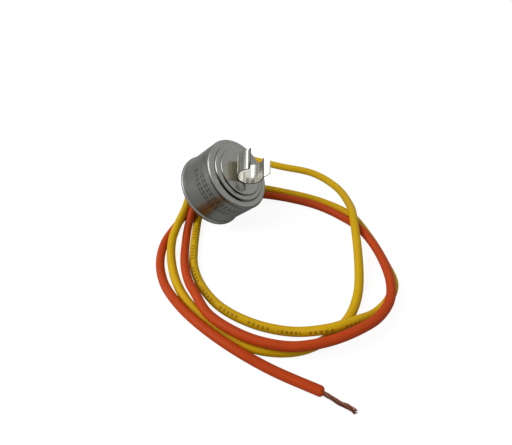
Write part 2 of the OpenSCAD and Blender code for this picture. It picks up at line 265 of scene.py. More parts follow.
def grow(carrier, tree, values, name):
    modifier = carrier.modifiers.new("grow", "NODES")
    modifier.node_group = tree
    for item in tree.interface.items_tree:
        if item.in_out == "INPUT" and item.name in values:
            modifier[item.identifier] = values[item.name]
    bpy.context.view_layer.update()
    evaluated = carrier.evaluated_get(bpy.context.evaluated_depsgraph_get())
    mesh = bpy.data.meshes.new_from_object(evaluated)
    carrier.modifiers.remove(modifier)
    bpy.data.objects.remove(carrier)
    mesh.name = name
    return addObject(name, mesh)


def lineCarrier(name, points, **attributes):
    mesh = bpy.data.meshes.new(name)
    mesh.from_pydata(points, [(i, i + 1) for i in range(len(points) - 1)], [])
    for key, values in attributes.items():
        mesh.attributes.new(key, "FLOAT", "POINT").data.foreach_set("value", values)
    return addObject(name, mesh)


# A piece from points in the can's frame
def canPiece(name, points, faces, material, sharp):
    mesh = bpy.data.meshes.new(name)
    mesh.from_pydata([tuple(canToRow @ point) for point in points], [], faces)
    mesh.validate()
    mesh.shade_smooth()
    mesh.set_sharp_from_angle(angle=math.radians(sharp))
    mesh.materials.append(material)
    return addObject(name, mesh)


# Shader groups that several finishes share

def newGroup(name, inputs, outputs):
    tree = bpy.data.node_groups.new(name, "ShaderNodeTree")
    for socket in inputs:
        addSocket(tree, "INPUT", *socket)
    for socketName in outputs:
        addSocket(tree, "OUTPUT", socketName, "Float")
    return tree, tree.nodes.new("NodeGroupInput").outputs, tree.nodes.new("NodeGroupOutput").inputs


def makeMottleGroup():
    tree, given, out = newGroup("mottle", [("Coordinates", "Vector"), ("Scale", "Float", 400.0),
                                           ("Amount", "Float", 0.1), ("Seed", "Float", 0.0)],
                                ["Tone", "Height"])
    place, scale, seed = given["Coordinates"], given["Scale"], given["Seed"]
    broad = noise(tree, place, scale, 3.0, seed)
    fine = noise(tree, place, times(tree, scale, 7.0), 2.0, seed)
    both = plus(tree, times(tree, broad, 1.4), times(tree, fine, 0.6))   # 1 on average
    swing = times(tree, minus(tree, both, 1.0), given["Amount"])
    plug(tree, plus(tree, 1.0, swing), out["Tone"])
    plug(tree, fine, out["Height"])
    return tree


def makeScratchGroup():
    tree, given, out = newGroup("scratches", [("Coordinates", "Vector"), ("Scale", "Float", 300.0),
                                              ("Stretch", "Float", 14.0), ("Cover", "Float", 0.3)],
                                ["Mask"])
    place, scale = given["Coordinates"], given["Scale"]
    long = vectorNode(tree, "MULTIPLY", place, joined(tree, given["Stretch"], 1.0, 1.0))
    lines = spread(tree, noise(tree, long, scale, 1.0), 0.62, 0.72)
    patches = spread(tree, noise(tree, place, times(tree, scale, 0.8), 1.0), 0.5, 0.65)
    plug(tree, times(tree, lines, patches, given["Cover"]), out["Mask"])
    return tree


mottleGroup = makeMottleGroup()
scratchGroup = makeScratchGroup()


def newFinish(name):
    material = bpy.data.materials.new(name)
    material.use_nodes = True
    tree = material.node_tree
    return material, tree, tree.nodes["Principled BSDF"]


def useGroup(tree, group, **inputs):
    return addNode(tree, "ShaderNodeGroup", {"node_tree": group}, **inputs).outputs


def objectCoordinates(tree):
    return tree.nodes.new("ShaderNodeTexCoord").outputs["Object"]


def attribute(tree, name, output="Fac"):
    return addNode(tree, "ShaderNodeAttribute", {"attribute_name": name}).outputs[output]


# Object coordinates turned into the can's own frame, in mm
def canCoordinates(tree):
    return addNode(tree, "ShaderNodeMapping", {"vector_type": "TEXTURE"},
                   Vector=objectCoordinates(tree), Location=canPlace, Rotation=(0, lean, 0),
                   Scale=(mm, mm, mm)).outputs["Vector"]


def bumped(tree, shader, height, distance, strength=0.5):
    node = addNode(tree, "ShaderNodeBump", Height=height, Distance=distance, Strength=strength)
    plug(tree, node.outputs["Normal"], shader.inputs["Normal"])


# A colour, or a socket that gives one, made lighter or darker
def toned(tree, colour, tone):
    if not isinstance(colour, bpy.types.NodeSocket):
        colour = colour[:3]
    return vectorNode(tree, "SCALE", colour, Scale=tone)


# Plain finish with a mottled tone and a fine surface; the relief is in metres
def makePlainFinish(name, colour, roughness, metallic, scale, amount, relief, seed):
    material, tree, shader = newFinish(name)
    mottle = useGroup(tree, mottleGroup, Coordinates=objectCoordinates(tree), Scale=scale,
                      Amount=amount, Seed=seed)
    setInputs(tree, shader, Base_Color=toned(tree, paint(*colour), mottle["Tone"]),
              Metallic=metallic, Roughness=times(tree, mottle["Tone"], roughness, clamp=True))
    bumped(tree, shader, mottle["Height"], relief)
    return material


# The leads lie over the table in one loose double loop. A route is what its centre line goes
# through after the straight stretch out of the can. All lengths but the last two are in mm.

leads = {
    "diameter": 2.8,
    "outOfAxis": 1.98,      # of each lead, across the can, both ways
    "sunk": 2.2,            # up into the compound
    "out": 1.0,             # straight out of the rear plane
    "step": 0.5,
    "sides": 28,
    "endRound": 1.1,
    "endShrink": 0.6,       # how much narrower the cut end is, as a share
    "endSteps": 6,
    "orangeRoute": [
        (-10.4, 1.2, 8.1), (-11.6, -0.6, 6.4), (-12, -3.7, 5), (-11, -8.9, 4.3),
        (-10.4, -13.2, 2.4), (-8.1, -19.9, 1.5), (-3.4, -29.5, 2.6), (1, -35.5, 3.1),
        (5.7, -39.8, 3.9), (11.6, -44.6, 4.3), (18.6, -47.1, 4.4), (27.7, -48.1, 4.4),
        (37.4, -46.5, 4.4), (45.9, -42.1, 4.9), (52.5, -36.7, 5.5), (57.6, -29.8, 4.6),
        (59.9, -22.5, 4.3), (59.3, -16, 4.3), (55.9, -7.6, 4.3), (51.3, -0.5, 4.2),
        (46.5, 5.2, 3.4), (41.1, 10.1, 1.6), (30.9, 13.6, 1.4), (19.2, 14.2, 1.4),
        (6.2, 12.6, 1.4), (-5.8, 9.5, 1.4), (-12.8, 2.5, 1.4), (-14.5, -6, 1.4), (-15, -14, 1.4),
        (-14.8, -22.5, 1.4), (-11.8, -30.9, 1.4), (-6.3, -38, 1.6), (1.2, -43.5, 2.5),
        (10.1, -47.9, 3.2), (21.3, -51.4, 3.2), (33.2, -53.2, 1.9), (47.7, -54.2, 1.4)],
    "yellowRoute": [
        (-8.2, -3.1, 5), (-9.2, -5.2, 3.1), (-9.1, -8.2, 1.6), (-7.6, -12.7, 1.4),
        (-4.2, -21.5, 1.4), (-0.7, -28.6, 1.4), (4.9, -34.8, 1.4), (13.5, -39.9, 1.4),
        (24.7, -41.9, 1.4), (35.6, -40.8, 1.7), (44.7, -38.4, 4.4), (51.1, -33.4, 4.1),
        (56.8, -26.7, 1.5), (60, -20.5, 1.4), (60.8, -14, 1.4), (57.2, -6.3, 1.4),
        (50.6, 4.1, 1.4), (42.9, 12.6, 1.4), (31.7, 16.6, 1.4), (16.7, 17.4, 1.4),
        (0.7, 15.7, 1.4), (-12.3, 9.7, 2), (-16.1, 1, 3.8), (-14.2, -7.9, 4.5),
        (-11.9, -21.9, 3.3), (-7.8, -30.3, 1.4), (0.8, -39.6, 1.4), (12.7, -46, 1.4),
        (26.7, -49, 1.4), (39.5, -45.1, 1.4), (48.2, -34.8, 1.4), (50.9, -22, 1.8),
        (44.1, 6.5, 6.2), (40.9, 16.6, 4), (34.2, 27.5, 1.6), (23.7, 33.2, 1.4), (8.2, 33.4, 1.4),
        (-12.8, 34.8, 1.4)],
    "orangeLength": 0.319,  # metres
    "yellowLength": 0.431,
}


def inMetres(points):
    return [Vector([value * mm for value in point]) for point in points]


# A smooth line through the points, as a bent wire takes it
def smoothLine(points, step):
    ends = [points[0] * 2 - points[1]] + points + [points[-1] * 2 - points[-2]]
    line = []
    for before, start, end, after in zip(ends, ends[1:], ends[2:], ends[3:]):
        t1 = (start - before).length ** 0.5
        t2 = t1 + (end - start).length ** 0.5
        t3 = t2 + (after - end).length ** 0.5
        count = max(2, round((end - start).length / step * 2))
        for i in range(count):
            t = t1 + (t2 - t1) * i / count
            a1 = before * ((t1 - t) / t1) + start * (t / t1)
            a2 = start * ((t2 - t) / (t2 - t1)) + end * ((t - t1) / (t2 - t1))
            a3 = end * ((t3 - t) / (t3 - t2)) + after * ((t - t2) / (t3 - t2))
            b1 = a1 * ((t2 - t) / t2) + a2 * (t / t2)
            b2 = a2 * ((t3 - t) / (t3 - t1)) + a3 * ((t - t1) / (t3 - t1))
            line.append(b1 * ((t2 - t) / (t2 - t1)) + b2 * ((t - t1) / (t2 - t1)))
    line.append(points[-1])
    return line


# The same line in even steps, with the distance along it
def evenLine(line, step):
    along = [0.0]
    for a, b in zip(line, line[1:]):
        along.append(along[-1] + (b - a).length)
    count = round(along[-1] / step)
    points, distances, k = [], [], 0
    for i in range(count + 1):
        want = along[-1] * i / count
        while k < len(along) - 2 and along[k + 1] < want:
            k += 1
        share = (want - along[k]) / (along[k + 1] - along[k])
        points.append(line[k].lerp(line[k + 1], min(1, share)))
        distances.append(want)
    return points, distances


def leadPath(side, route):
    across = leads["outOfAxis"] * side
    fromCan = [canToRow @ Vector((across, -across, z)) for z in (leads["sunk"], -leads["out"])]
    line = smoothLine(fromCan + inMetres(route), leads["step"] * mm)
    radius = leads["diameter"] / 2 * mm
    for p in line:
        p.z = max(p.z, radius)
    return evenLine(line, leads["step"] * mm)


def makeLeadTree():
    tree, given = newTree("leadTube", [("Diameter", "Float"), ("Sides", "Int"),
                                       ("Material", "Material")])
    curve = addNode(tree, "GeometryNodeMeshToCurve", Mesh=given["Geometry"])
    upright = addNode(tree, "GeometryNodeSetCurveNormal", {"mode": "Z_UP"},
                      Curve=curve.outputs["Curve"])
    ring = addNode(tree, "GeometryNodeCurvePrimitiveCircle", Resolution=given["Sides"],
                   Radius=times(tree, given["Diameter"], 0.5))
    place = tree.nodes.new("GeometryNodeInputPosition").outputs["Position"]
    marked = storeAttribute(tree, ring.outputs["Curve"], "aroundLead",
                            vectorNode(tree, "NORMALIZE", place), "FLOAT_VECTOR")
    size = addNode(tree, "GeometryNodeInputNamedAttribute", {"data_type": "FLOAT"},
                   Name="leadSize").outputs["Attribute"]
    tube = addNode(tree, "GeometryNodeCurveToMesh", Curve=upright.outputs["Curve"],
                   Profile_Curve=marked, Scale=size, Fill_Caps=True)
    closeTree(tree, tube.outputs["Mesh"], given["Material"])
    return tree


# Extruded insulation: faint die lines along the lead, a soft mottle and, where wanted, a row
# of plain worn dashes where such leads are printed

insulation = {
    "drawnAlong": 30.0,     # in each metre
    "drawnRound": 2.6,
    "drawnScale": 2.4,
    "lines": (0.35, 0.7),
    "lineStrength": 0.55,
    "roughness": (0.42, 0.56),
    "specular": 0.12,
    "relief": 0.00004,      # metres
}


def makeLeadFinish(name, colour, shade, dashes=None):
    material, tree, shader = newFinish(name)
    look = insulation
    along = attribute(tree, "alongLead")
    x, y = split(tree, attribute(tree, "aroundLead", "Vector"))[:2]
    drawn = joined(tree, times(tree, along, look["drawnAlong"]), times(tree, x, look["drawnRound"]),
                   times(tree, y, look["drawnRound"]))
    dieLines = noise(tree, drawn, look["drawnScale"], 3.0)
    mottle = useGroup(tree, mottleGroup, Coordinates=objectCoordinates(tree), Scale=260.0,
                      Amount=0.16)
    share = times(tree, spread(tree, dieLines, *look["lines"]), look["lineStrength"])
    body = toned(tree, mixColours(tree, share, paint(*colour), paint(*shade)), mottle["Tone"])
    if dashes:
        inDash = mathNode(tree, "LESS_THAN", phase(tree, along, dashes["pitch"] * mm),
                          dashes["length"] / dashes["pitch"])
        inGroup = mathNode(tree, "LESS_THAN", phase(tree, along, dashes["groupPitch"] * mm),
                           dashes["groupFill"])
        beforeEnd = mathNode(tree, "LESS_THAN", along, dashes["until"] * mm)
        afterStart = mathNode(tree, "GREATER_THAN", along, dashes["from"] * mm)
        turn = plus(tree, math.radians(dashes["turn"]),
                    times(tree, along, math.radians(dashes["twist"]) / mm))
        facing = plus(tree, times(tree, x, mathNode(tree, "COSINE", turn)),
                      times(tree, y, mathNode(tree, "SINE", turn)))
        inBand = spread(tree, facing, *dashes["band"])
        worn = spread(tree, dieLines, *dashes["wear"])
        ink = times(tree, inDash, inGroup, beforeEnd, afterStart, times(tree, inBand, worn))
        body = mixColours(tree, times(tree, ink, dashes["strength"]), body, paint(*dashes["ink"]))
    setInputs(tree, shader, Base_Color=body, Specular_IOR_Level=look["specular"],
              Roughness=spread(tree, dieLines, *noiseSpan, *look["roughness"]))
    bumped(tree, shader, dieLines, look["relief"])
    return material


def makeLead(name, side, route, finish, tree):
    points, along = leadPath(side, route)
    turn = leads["endRound"] * mm
    last = (points[-1] - points[-2]).normalized()
    end, total = points[-1], along[-1]
    while along[-1] > total - turn:      # the end gets its own close rings
        points.pop()
        along.pop()
    size = [1.0] * len(points)
    for i in range(leads["endSteps"] + 1):
        share = i / leads["endSteps"]
        back = turn * (1 - share)
        points.append(end - last * back)
        along.append(total - back)
        size.append(1 - leads["endShrink"] * (1 - math.sqrt(1 - share * share)))
    carrier = lineCarrier(name + "Line", points, alongLead=along, leadSize=size)
    piece = grow(carrier, tree, {"Diameter": leads["diameter"] * mm, "Sides": leads["sides"],
                                 "Material": finish}, name)
    piece.data.set_sharp_from_angle(angle=math.radians(50))
    return piece, points


printedDashes = {
    "pitch": 1.35,         # mm along the lead
    "length": 0.8,
    "groupPitch": 9.0,
    "groupFill": 0.74,
    "from": 12,
    "until": 95,
    "turn": -100,          # where it stands round the lead, in degrees
    "twist": 0.75,         # degrees that it goes round in each mm
    "band": (0.93, 0.95),  # cosine of the angle from its middle, where the ink starts and is full
    "wear": (0.3, 0.6, 0.5, 1.0),
    "strength": 0.7,
    "ink": (104, 78, 12),
}
orangeFinish = makeLeadFinish("orangeInsulation", (198, 74, 25), (176, 56, 13))
yellowFinish = makeLeadFinish("yellowInsulation", (220, 178, 14), (198, 150, 6), printedDashes)
leadTree = makeLeadTree()
orangeLead, orangePath = makeLead("orangeLead", -1, leads["orangeRoute"], orangeFinish, leadTree)
yellowLead, yellowPath = makeLead("yellowLead", 1, leads["yellowRoute"], yellowFinish, leadTree)
print("leads made")


# Bared copper ends: a bundle of twisted strands that is loose at its end

strands = {
    "count": 19,           # one in the middle, six round it, and twelve round those
    "thickness": 0.25,     # mm
    "layLength": 10,
    "lobes": 4,            # clumps round the bundle
    "lobeDepth": 0.05,
    "inside": 2.0,         # how far the bundle starts inside the insulation
    "drop": 0.45,          # how far below the middle it comes out
    "loosen": 0.22,
    "uneven": 0.12,
    "seed": 7,
    "steps": 90,
    "sides": 8,
    "orangeTail": [(49.9, -54.6, 0.8), (52, -55.1, 0.7), (54.3, -55.3, 0.7), (56.4, -56, 0.7)],
    "yellowTail": [(-18.3, 35.2, 0.8), (-23.8, 34.8, 0.7)],
    "tailStep": 0.3,
    # the strand colours run from painted shade in the valleys to painted highlight on the ridges
    "dark": (74, 46, 36),
    "middling": (120, 76, 60),
    "bright": (168, 122, 106),
}


def randomShare(tree, index, seed):
    node = addNode(tree, "FunctionNodeRandomValue", {"data_type": "FLOAT"}, ID=index, Seed=seed)
    return node.outputs[1]


def makeStrandTree():
    tree, given = newTree("twistedStrands", [
        ("Strands", "Int"), ("Thickness", "Float"), ("Lay length", "Float"), ("Lobes", "Float"),
        ("Lobe depth", "Float"), ("Loosen", "Float"), ("Uneven ends", "Float"), ("Seed", "Int"),
        ("Material", "Material")])
    curve = addNode(tree, "GeometryNodeMeshToCurve", Mesh=given["Geometry"])
    even = addNode(tree, "GeometryNodeResampleCurve", {"mode": "COUNT"},
                   Curve=curve.outputs["Curve"], Count=strands["steps"])
    upright = addNode(tree, "GeometryNodeSetCurveNormal", {"mode": "Z_UP"},
                      Curve=even.outputs["Curve"])
    copies = addNode(tree, "GeometryNodeDuplicateElements", {"domain": "SPLINE"},
                     Geometry=upright.outputs["Curve"], Amount=given["Strands"])
    index = copies.outputs["Duplicate Index"]
    spline = tree.nodes.new("GeometryNodeSplineParameter").outputs
    tangent = tree.nodes.new("GeometryNodeInputTangent").outputs[0]
    normal = tree.nodes.new("GeometryNodeInputNormal").outputs[0]
    side = vectorNode(tree, "CROSS_PRODUCT", tangent, normal)
    inner = mathNode(tree, "GREATER_THAN", index, 0.5)
    outer = mathNode(tree, "GREATER_THAN", index, 6.5)
    layer = times(tree, plus(tree, inner, times(tree, outer, 0.93)), given["Thickness"])
    start = plus(tree, times(tree, index, math.tau / 6, minus(tree, 1.0, outer)),
                 times(tree, index, math.tau / 12, outer))
    twist = times(tree, mathNode(tree, "DIVIDE", spline["Length"], given["Lay length"]), math.tau)
    angle = plus(tree, start, twist)
    lobed = mathNode(tree, "COSINE", times(tree, start, given["Lobes"]))
    lobe = times(tree, lobed, times(tree, given["Lobe depth"], outer))
    wander = plus(tree, randomShare(tree, index, given["Seed"]), 0.6)
    opened = times(tree, mathNode(tree, "POWER", spline["Factor"], 4.0),   # near the end only
                   times(tree, given["Loosen"], wander))
    reach = times(tree, layer, plus(tree, 1.0, opened, lobe))
    sideways = times(tree, reach, mathNode(tree, "COSINE", angle))
    upwards = times(tree, reach, mathNode(tree, "SINE", angle))
    offset = vectorNode(tree, "ADD", vectorNode(tree, "SCALE", normal, Scale=sideways),
                        vectorNode(tree, "SCALE", side, Scale=upwards))
    laid = addNode(tree, "GeometryNodeSetPosition", Geometry=copies.outputs["Geometry"],
                   Offset=offset)
    radius = times(tree, given["Thickness"], 0.5)
    x, y, z = split(tree, tree.nodes.new("GeometryNodeInputPosition").outputs[0])
    onTable = joined(tree, x, y, mathNode(tree, "MAXIMUM", z, radius))
    laid = addNode(tree, "GeometryNodeSetPosition", Geometry=laid.outputs["Geometry"],
                   Position=onTable)
    short = randomShare(tree, index, plus(tree, given["Seed"], 3))
    cut = addNode(tree, "GeometryNodeTrimCurve", {"mode": "FACTOR"}, Curve=laid.outputs["Geometry"],
                  End=minus(tree, 1.0, times(tree, short, given["Uneven ends"])))
    # painted shade in the valleys between the clumps and painted highlight on their ridges, plus a
    # random tone for each strand
    tone = plus(tree, times(tree, plus(tree, 1.0, lobed), 0.3), times(tree, short, 0.4))
    tinted = storeAttribute(tree, cut.outputs["Curve"], "strandShadeAndTone", tone)
    ring = addNode(tree, "GeometryNodeCurvePrimitiveCircle", Resolution=strands["sides"],
                   Radius=radius)
    tube = addNode(tree, "GeometryNodeCurveToMesh", Curve=tinted,
                   Profile_Curve=ring.outputs["Curve"], Fill_Caps=True)
    closeTree(tree, tube.outputs["Mesh"], given["Material"])
    return tree


def makeCopperFinish():
    material, tree, shader = newFinish("bareCopper")
    # the strands' painted shade and highlight, with their random tone
    tone = attribute(tree, "strandShadeAndTone")
    mottle = useGroup(tree, mottleGroup, Coordinates=objectCoordinates(tree), Scale=900.0,
                      Amount=0.5)
    colour = rampNode(tree, times(tree, tone, mottle["Tone"], clamp=True),
                      [(0.0, paint(*strands["dark"])), (0.5, paint(*strands["middling"])),
                       (1.0, paint(*strands["bright"]))])
    setInputs(tree, shader, Base_Color=colour, Metallic=1.0,
              Roughness=spread(tree, mottle["Height"], 0.0, 1.0, 0.24, 0.46))
    bumped(tree, shader, mottle["Height"], 0.00001, 0.4)
    return material


def makeStrands(name, path, tail, finish, tree):
    out = (path[-1] - path[-8]).normalized()
    inside = strands["inside"] * mm
    low = path[-1] - Vector((0, 0, strands["drop"] * mm))
    line = smoothLine([path[-1] - out * inside, low] + inMetres(tail), strands["tailStep"] * mm)
    carrier = lineCarrier(name + "Line", line)
    return grow(carrier, tree, {
        "Strands": strands["count"], "Thickness": strands["thickness"] * mm,
        "Lay length": strands["layLength"] * mm, "Lobes": float(strands["lobes"]),
        "Lobe depth": strands["lobeDepth"], "Loosen": strands["loosen"],
        "Uneven ends": strands["uneven"], "Seed": strands["seed"], "Material": finish}, name)


copperFinish = makeCopperFinish()
strandTree = makeStrandTree()
orangeStrands = makeStrands("orangeStrands", orangePath, strands["orangeTail"], copperFinish,
                            strandTree)
yellowStrands = makeStrands("yellowStrands", yellowPath, strands["yellowTail"], copperFinish,
                            strandTree)
for piece, node, slotName in ((orangeLead, "orange_lead", "orange_insulation"),
                              (yellowLead, "yellow_lead", "yellow_insulation"),
                              (orangeStrands, "orange_strands", "copper"),
                              (yellowStrands, "yellow_strands", "copper")):
    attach(piece, "root")
    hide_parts(node)


# The drawn can: a closed shell turned round its axis

def arc(centre, radius, start, end, steps):
    angles = [math.radians(start + (end - start) * i / steps) for i in range(steps + 1)]
    return [(centre[0] + radius * math.cos(a), centre[1] + radius * math.sin(a)) for a in angles]


# The arc of a rounded edge between a wall at this radius and a face at this height
def roundEdge(radius, height, edge, start, end, steps):
    return arc((radius - edge, height - edge), edge, start, end, steps)


def canProfile():
    c = can
    wall, face, sheet, corner = c["wallRadius"], c["faceHeight"], c["sheet"], c["cornerRadius"]
    bore, step, pad, rimEdge = c["boreRadius"], c["stepRadius"], c["padRadius"], c["rimEdge"]
    groove = c["rimHeight"] + c["grooveHeight"] / 2
    tuckAngle = math.radians(c["cornerTuck"])
    dip = corner * (1 - math.cos(tuckAngle))
    tuck = face - corner - corner * math.sin(tuckAngle)
    outside = (
        arc((bore + c["boreEdge"], c["boreEdge"]), c["boreEdge"], -180, -90, 3)
        + arc((c["rimRadius"] - rimEdge, rimEdge), rimEdge, -90, 0, 10)
        + roundEdge(c["rimRadius"], c["rimHeight"], rimEdge, 0, 78, 9)
        + [(wall - c["grooveDepth"], groove - 0.05), (wall - c["grooveDepth"], groove + 0.03),
           (wall, groove + c["grooveHeight"] / 2)]
        + [(wall, height) for height in c["wallRings"]]
        + [(wall - dip * share, height) for height, share in c["shoulderRings"]]
        + [(wall - dip, tuck - 0.12)]
        + roundEdge(wall, face, corner, -c["cornerTuck"], 90, 18)
        + [(step + 0.3, face), (step - 0.01, face)]
        + roundEdge(step, stepTop, c["stepEdge"], 4, 90, 10)
        + [(pad + 0.2, stepTop), (pad, stepTop)]
        + roundEdge(pad, padTop, c["padEdge"], 4, 90, 8)
        + [(radius, padTop) for radius in c["padRings"]])
    inside = [(pad - sheet, padTop - sheet), (pad - sheet, face - 0.2), (step - sheet, face - 0.2),
              (step - sheet, face - sheet), (bore, face - sheet)]
    return outside, inside


def circle(radius, height, segments):
    angles = [math.tau * i / segments for i in range(segments)]
    return [Vector((radius * math.cos(a), radius * math.sin(a), height)) for a in angles]


# Faces from a ring of vertices to the next one, and from a ring to its middle
def band(first, second, segments):
    return [(first + i, first + (i + 1) % segments, second + (i + 1) % segments, second + i)
            for i in range(segments)]


def fan(ring, middle, segments):
    return [(ring + i, ring + (i + 1) % segments, middle) for i in range(segments)]


def latheFaces(rings, segments, first):
    starts = [first + j * segments for j in range(rings)]
    return [face for a, b in zip(starts, starts[1:]) for face in band(a, b, segments)]


def makeCan(finish):
    outside, inside = canProfile()
    segments = can["segments"]
    vertices = [v for r, z in outside for v in circle(r, z, segments)]
    top = len(vertices)                      # middle of the pad, then the same on the inside
    vertices += [Vector((0, 0, padTop)), Vector((0, 0, padTop - can["sheet"]))]
    firstInside = len(vertices)
    vertices += [v for r, z in inside for v in circle(r, z, segments)]
    faces = (latheFaces(len(outside), segments, 0) + fan(top - segments, top, segments)
             + fan(firstInside, top + 1, segments) + latheFaces(len(inside), segments, firstInside)
             + band(len(vertices) - segments, 0, segments))
    return canPiece("drawnCan", vertices, faces, finish, 38)


marks = {
    # middle of each row in mm from the rear plane, then where it starts and ends round the can
    "rows": [(7.75, -2.63, -1.0), (8.85, -2.6, -0.9), (10.45, -2.42, -0.95), (11.55, -2.4, -0.88),
             (12.4, -2.83, -2.7)],
    "halfHeight": 0.27,
    "pitch": 0.13,         # radians
    "fill": 0.7,
    "strength": 0.8,
    "rougher": 0.2,
    "ink": (46, 45, 42),
}


def makeCanFinish():
    material, tree, shader = newFinish("drawnAluminium")
    place = canCoordinates(tree)
    x, y, z = split(tree, place)
    around = mathNode(tree, "ARCTAN2", y, x)
    radius = mathNode(tree, "SQRT", plus(tree, times(tree, x, x), times(tree, y, y)))
    mottle = useGroup(tree, mottleGroup, Coordinates=place, Scale=0.5, Amount=0.16)
    scratches = useGroup(tree, scratchGroup, Coordinates=place, Scale=0.6, Stretch=9.0,
                         Cover=0.5)["Mask"]
    drawn = joined(tree, times(tree, around, can["drawnRound"]), times(tree, z, can["drawnAlong"]),
                   times(tree, radius, can["drawnAlong"]))
    drawLines = noise(tree, drawn, 6.0, 3.0)
    tone = times(tree, mottle["Tone"], spread(tree, drawLines, *noiseSpan, *can["toneSwing"]))
    # painted shade in the creases, on the lower side only
    section = joined(tree, radius, z)
    crease = 0.0
    for creaseRadius, creaseHeight, reach in can["creases"]:
        away = vectorNode(tree, "DISTANCE", section, (creaseRadius, creaseHeight, 0))
        crease = mathNode(tree, "MAXIMUM", crease, spread(tree, away, reach * 0.4, reach, 1.0, 0.0))
    fromBelow = mathNode(tree, "ABSOLUTE", minus(tree, around, can["paintedShadeMiddle"]))
    paintedCreaseShade = times(tree, crease, spread(tree, fromBelow, *can["paintedShadeFade"], can["paintedCreaseShade"], 0.0))
    metal = toned(tree, paint(*can["metal"]), times(tree, tone, minus(tree, 1.0, paintedCreaseShade)))
    # plain dashes where such a can is stamped
    row = 0.0
    for middle, start, end in marks["rows"]:
        near = mathNode(tree, "COMPARE", z, middle, marks["halfHeight"])
        within = mathNode(tree, "COMPARE", around, (start + end) / 2, (end - start) / 2)
        row = mathNode(tree, "MAXIMUM", row, times(tree, near, within))
    onWall = mathNode(tree, "GREATER_THAN", radius, can["wallRadius"] - 0.2)
    inDash = mathNode(tree, "LESS_THAN", phase(tree, around, marks["pitch"]), marks["fill"])
    dash = times(tree, inDash, times(tree, row, onWall))
    colour = mixColours(tree, times(tree, dash, marks["strength"]), metal, paint(*marks["ink"]))
    rough = plus(tree, spread(tree, drawLines, *noiseSpan, *can["roughness"]),
                 times(tree, onWall, can["wallRougher"]), times(tree, scratches, 0.15),
                 times(tree, dash, marks["rougher"]), clamp=True)
    setInputs(tree, shader, Base_Color=colour, Metallic=1.0, Roughness=rough)
    height = minus(tree, minus(tree, mottle["Height"], times(tree, scratches, 0.6)), dash)
    bumped(tree, shader, height, can["relief"])
    return material


drawnCan = makeCan(makeCanFinish())
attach(drawnCan, "root")
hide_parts("case")
print("can made")


# Spring clip: one strip bent into a foot, two flanks, a round seat and two lead-in lips

clip = {
    "thickness": 0.4,      # mm
    "width": 7.5,
    "foot": 2.7,
    "bend": 0.3,
    "flank": 42,           # degrees
    "wrap": 37,
    "seatRadius": 4.0,
    "seatHeight": 4.4633,
    "neckBend": 0.3,
    "lipLean": 33,
    "lipLength": 2.0,
    "lipTaper": 1.1,
    "lipStations": (0.05, 0.28, 0.52, 0.76, 0.95, 1.0),
    "turn": 26.5,
    "shift": -0.5,
    "edge": 0.05,          # broken edge of the strip
    "steel": (206, 205, 197),
    "heated": (244, 234, 206),
    "dulled": 0.95,        # how much of the shine the heat took
    "dulledTo": (2.4, 3.6),     # mm above the pad, where the dull part fades out
    "roughness": (0.1, 0.18),
    "relief": 0.000006,    # metres
}


# Stations along the right half of the strip: middle of the strip, its outward direction and
# how far the corners are cut back
def clipStations():
    c = clip
    t, seat = c["thickness"], c["seatHeight"]
    stations = [((x, t / 2), (0, -1), 0.0) for x in (0, c["foot"] / 4, c["foot"] / 2)]

    def bend(centre, radius, start, end, steps, sign):
        for i in range(steps + 1):
            a = math.radians(start + (end - start) * i / steps)
            way = (math.cos(a) * sign, math.sin(a) * sign)
            stations.append(((centre[0] + radius * math.cos(a),
                              centre[1] + radius * math.sin(a)), way, 0.0))

    bend((c["foot"] / 2, t + c["bend"]), c["bend"] + t / 2, -90, c["flank"] - 90, 8, 1)
    bend((0, seat), c["seatRadius"] + t / 2, c["flank"] - 90, c["wrap"], 36, 1)
    reach = c["seatRadius"] + t + c["neckBend"]
    wrap = math.radians(c["wrap"])
    neck = (reach * math.cos(wrap), seat + reach * math.sin(wrap))
    lipFrom = 180 - c["lipLean"]
    bend(neck, c["neckBend"] + t / 2, 180 + c["wrap"], lipFrom, 10, -1)
    a = math.radians(lipFrom)
    (tipX, tipHeight), way, _ = stations[-1]
    taperFrom = c["lipStations"][0]
    for share in c["lipStations"]:
        along = c["lipLength"] * share
        cut = c["lipTaper"] * (share - taperFrom) / (1 - taperFrom)
        stations.append(((tipX + along * math.sin(a), tipHeight - along * math.cos(a)), way, cut))
    return stations


def makeClip(finish, edgeFinish):
    half = clipStations()
    stations = [((-p[0], p[1]), (-n[0], n[1]), cut) for p, n, cut in reversed(half[1:])] + half
    place = (Matrix.Translation((0, 0, padTop))
             @ Matrix.Rotation(math.radians(clip["turn"]), 4, "Z"))
    t, e = clip["thickness"] / 2, clip["edge"]
    vertices = []
    for index, ((x, h), (nx, nh), cut) in enumerate(stations):
        w = clip["width"] / 2 - cut
        thin = e if index in (0, len(stations) - 1) else 0.0
        corners = [(w - e, t - thin), (w, t - e - thin), (w, -t + e + thin), (w - e, -t + thin),
                   (-w + e, -t + thin), (-w, -t + e + thin), (-w, t - e - thin), (-w + e, t - thin)]
        for across, out in corners:
            vertices.append(place @ Vector((x + nx * out, clip["shift"] + across, h + nh * out)))
    faces = latheFaces(len(stations), 8, 0)
    bands = len(faces)
    faces.append(tuple(reversed(range(8))))
    faces.append(tuple(range(bands, bands + 8)))
    piece = canPiece("springClip", vertices, faces, finish, 40)
    piece.data.materials.append(edgeFinish)
    for index, face in enumerate(piece.data.polygons):   # the sheared sides and ends of the strip
        if index % 8 not in (3, 7) or index >= bands:
            face.material_index = 1
    return piece


